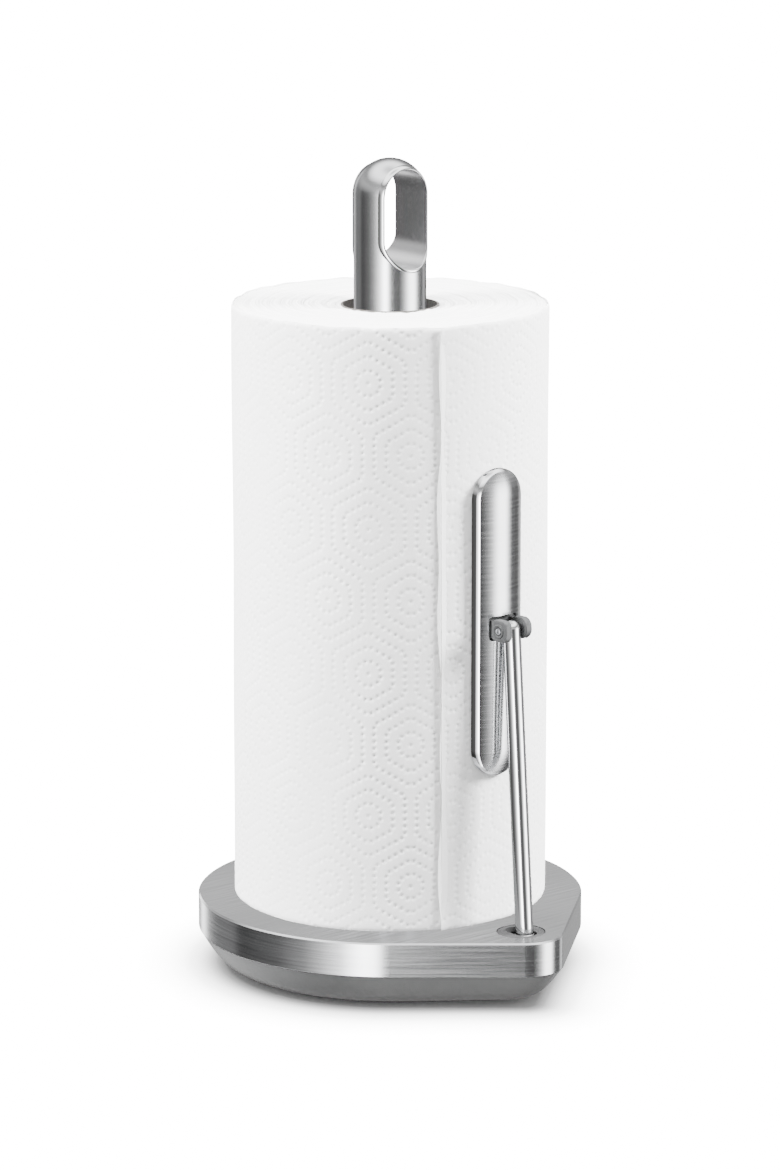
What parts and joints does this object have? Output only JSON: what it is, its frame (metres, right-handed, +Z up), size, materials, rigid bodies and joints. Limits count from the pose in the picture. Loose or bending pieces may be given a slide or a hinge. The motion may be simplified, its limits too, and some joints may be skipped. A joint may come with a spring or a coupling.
{
  "type": "paper towel holder",
  "caption": "Free-standing paper towel holder: weighted teardrop base, domed post with a finger slot, and a sprung side arm whose long pad keeps the fitted roll from unwinding.",
  "frame": {"origin": "on the post's axis, at the surface the holder stands on", "axes": "+Z up along the post; the arm stands on the -Y side, on the nose of the teardrop base; X across"},
  "size_m": [0.18, 0.2023, 0.3795],
  "materials": {
    "brushed_steel": "satin",
    "satin_steel": "satin",
    "polished_steel": "polished",
    "zinc_steel": "satin",
    "spring_steel": "satin",
    "cast_iron": "matte",
    "grey_plastic": "satin",
    "clip_plastic": "satin",
    "black_rubber": "matte",
    "white_paper": "matte",
    "card": "matte"
  },
  "bodies": {
    "base": {"base_cover": "brushed_steel", "base_pan": "grey_plastic", "foot_pad": "black_rubber", "ballast_plate": "cast_iron", "pan_screw_1": "zinc_steel", "pan_screw_2": "zinc_steel", "pan_screw_3": "zinc_steel", "pan_screw_4": "zinc_steel", "post_tube": "satin_steel", "slot_liner": "polished_steel", "post_plug": "zinc_steel", "post_washer": "zinc_steel", "post_bolt": "zinc_steel", "arm_bezel": "clip_plastic", "arm_bracket": "zinc_steel", "bracket_screw_1": "zinc_steel", "bracket_screw_2": "zinc_steel", "arm_axle": "zinc_steel", "axle_clip_left": "spring_steel", "axle_clip_right": "spring_steel", "arm_spring_left": "spring_steel", "arm_spring_right": "spring_steel"},
    "arm": {"arm_hub": "zinc_steel", "arm_collar": "polished_steel", "arm_rod": "polished_steel"},
    "pad": {"pad_shell": "brushed_steel", "pad_backing": "clip_plastic", "pad_clip": "clip_plastic", "clip_pin": "polished_steel", "clip_screw_1": "zinc_steel", "clip_screw_2": "zinc_steel"},
    "roll": {"roll_core": "card", "paper_roll": "white_paper"}
  },
  "joints": [
    {"name": "arm_swing", "type": "hinge", "parent": "base", "child": "arm", "pos_m": [0, -0.0955, 0.022], "axis": [1, 0, 0], "range_deg": [0, 4], "stiffness_Nm_per_rad": 0.5, "springref_deg": -34.38},
    {"name": "pad_tilt", "type": "hinge", "parent": "arm", "child": "pad", "pos_m": [0, -0.0847, 0.1743], "axis": [1, 0, 0], "range_deg": [-4, 0]},
    {"name": "roll_spin", "type": "hinge", "parent": "base", "child": "roll", "pos_m": [0, 0, 0.0344], "axis": [0, 0, 1], "continuous": true}
  ],
  "couplings": [
    {"joint": "pad_tilt", "follows": "arm_swing", "ratio": -1}
  ]
}
